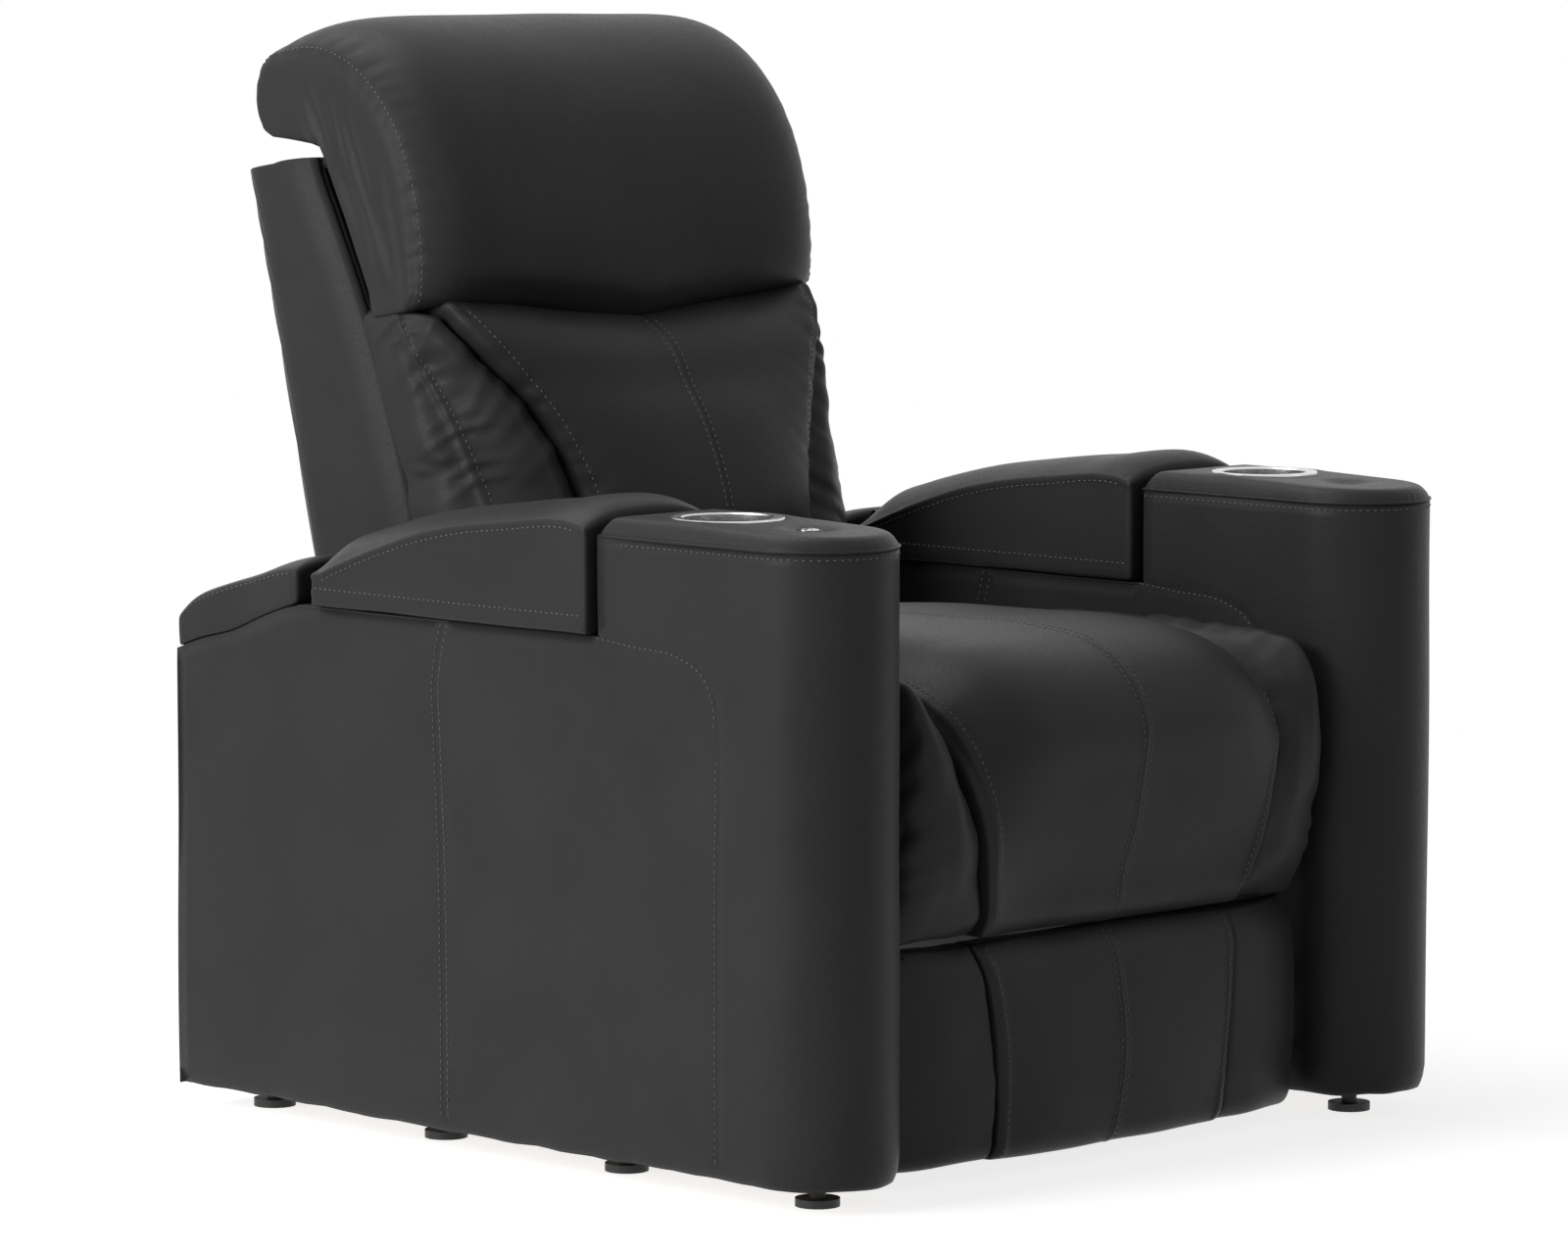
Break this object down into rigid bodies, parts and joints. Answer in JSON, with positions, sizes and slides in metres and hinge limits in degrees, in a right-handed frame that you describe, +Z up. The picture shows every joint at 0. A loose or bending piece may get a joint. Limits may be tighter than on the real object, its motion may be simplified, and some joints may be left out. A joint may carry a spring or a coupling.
{
  "type": "cinema recliner seat",
  "caption": "Home cinema recliner with round-fronted storage arms and cup holders; the back reclines, the footrest swings out, the headrest tilts and the arm lids lift.",
  "frame": {"origin": "on the floor, under the middle of the chair's box", "axes": "+Z up, the sitter faces -Y, +X is the sitter's left hand"},
  "size_m": [0.96, 1.0302, 1.128],
  "materials": {
    "cover_leather": "satin",
    "timber": "matte",
    "frame_steel": "satin",
    "bright_steel": "satin",
    "cup_steel": "satin",
    "control_chrome": "polished",
    "tray_plastic": "matte",
    "motor_plastic": "matte"
  },
  "bodies": {
    "base": {"arm_cover_right": "cover_leather", "arm_cover_left": "cover_leather", "arm_frame_right": "timber", "arm_frame_left": "timber", "arm_top_pad_right": "cover_leather", "arm_top_pad_left": "cover_leather", "arm_rear_cap_right": "cover_leather", "arm_rear_cap_left": "cover_leather", "storage_tray_right": "tray_plastic", "storage_tray_left": "tray_plastic", "cup_holder_right": "cup_steel", "cup_holder_left": "cup_steel", "lid_hinge_post_right": "frame_steel", "lid_hinge_post_left": "frame_steel", "control_housing": "control_chrome", "base_rails": "frame_steel", "base_cross_tubes": "frame_steel", "slide_rails": "frame_steel", "glide_feet": "motor_plastic", "arm_bolts": "bright_steel", "power_inlet": "motor_plastic"},
    "seat_carriage": {"seat_side_plate_right": "frame_steel", "seat_side_plate_left": "frame_steel", "seat_bolster_right": "cover_leather", "seat_bolster_left": "cover_leather", "carriage_tubes": "frame_steel", "slide_runners": "bright_steel", "seat_frame": "timber", "seat_springs": "bright_steel", "seat_centre_cushion": "cover_leather", "recline_actuator": "motor_plastic", "footrest_actuator": "motor_plastic"},
    "recline_rod": {"recline_rod": "bright_steel"},
    "footrest_rod": {"footrest_rod": "bright_steel"},
    "back": {"back_shell": "cover_leather", "back_frame": "timber", "back_brackets": "frame_steel", "back_springs": "bright_steel", "lumbar_cushion": "cover_leather", "back_bolster_right": "cover_leather", "back_bolster_left": "cover_leather", "headrest_brackets": "frame_steel"},
    "headrest": {"headrest_cushion": "cover_leather", "headrest_board": "timber", "headrest_arms": "frame_steel"},
    "footrest_swing": {"footrest_swing_frame": "frame_steel"},
    "footrest_reach": {"footrest_reach_links": "frame_steel"},
    "footrest": {"footrest_brackets": "frame_steel", "footrest_board": "timber", "footrest_centre_cushion": "cover_leather", "footrest_side_pad_right": "cover_leather", "footrest_side_pad_left": "cover_leather"},
    "lid_right": {"lid_pad_right": "cover_leather", "lid_board_right": "timber", "lid_hinge_leaf_right": "frame_steel"},
    "lid_left": {"lid_pad_left": "cover_leather", "lid_board_left": "timber", "lid_hinge_leaf_left": "frame_steel"},
    "recline_button": {"recline_button": "control_chrome"},
    "upright_button": {"upright_button": "control_chrome"}
  },
  "joints": [
    {"name": "back_recline", "type": "hinge", "parent": "seat_carriage", "child": "back", "pos_m": [0, 0.215, 0.345], "axis": [-1, 0, 0], "range_deg": [0, 40]},
    {"name": "seat_slide", "type": "slide", "parent": "base", "child": "seat_carriage", "axis": [0, -1, 0], "range_m": [0, 0.09]},
    {"name": "recline_rod_slide", "type": "slide", "parent": "seat_carriage", "child": "recline_rod", "axis": [0, -1, 0], "range_m": [0, 0.0546]},
    {"name": "footrest_open", "type": "hinge", "parent": "seat_carriage", "child": "footrest_swing", "pos_m": [0, -0.275, 0.319], "axis": [-1, 0, 0], "range_deg": [0, 87]},
    {"name": "footrest_straighten", "type": "hinge", "parent": "footrest_swing", "child": "footrest_reach", "pos_m": [0, -0.153, 0.109], "axis": [-1, 0, 0], "range_deg": [-55.9, 0]},
    {"name": "footrest_tilt", "type": "hinge", "parent": "footrest_reach", "child": "footrest", "pos_m": [0, -0.396, 0.135], "axis": [-1, 0, 0], "range_deg": [0, 50.9]},
    {"name": "footrest_rod_slide", "type": "slide", "parent": "seat_carriage", "child": "footrest_rod", "axis": [0, -1, 0], "range_m": [0, 0.0608]},
    {"name": "headrest_tilt", "type": "hinge", "parent": "back", "child": "headrest", "pos_m": [0, 0.248, 0.812], "axis": [1, 0, 0], "range_deg": [0, 20]},
    {"name": "lid_right_hinge", "type": "hinge", "parent": "base", "child": "lid_right", "pos_m": [-0.3915, 0.221, 0.585], "axis": [-1, 0, 0], "range_deg": [0, 70]},
    {"name": "lid_left_hinge", "type": "hinge", "parent": "base", "child": "lid_left", "pos_m": [0.3915, 0.221, 0.585], "axis": [-1, 0, 0], "range_deg": [0, 70]},
    {"name": "recline_button_press", "type": "slide", "parent": "base", "child": "recline_button", "axis": [0, 0, -1], "range_m": [0, 0.0015], "stiffness_N_per_m": 900, "springref_m": -0.0012},
    {"name": "upright_button_press", "type": "slide", "parent": "base", "child": "upright_button", "axis": [0, 0, -1], "range_m": [0, 0.0015], "stiffness_N_per_m": 900, "springref_m": -0.0012}
  ],
  "couplings": [
    {"joint": "seat_slide", "follows": "back_recline", "m_per_rad": 0.1289},
    {"joint": "recline_rod_slide", "follows": "back_recline", "m_per_rad": 0.0781},
    {"joint": "footrest_straighten", "follows": "footrest_open", "ratio": -0.6423},
    {"joint": "footrest_tilt", "follows": "footrest_open", "ratio": 0.5848},
    {"joint": "footrest_rod_slide", "follows": "footrest_open", "m_per_rad": 0.04}
  ]
}
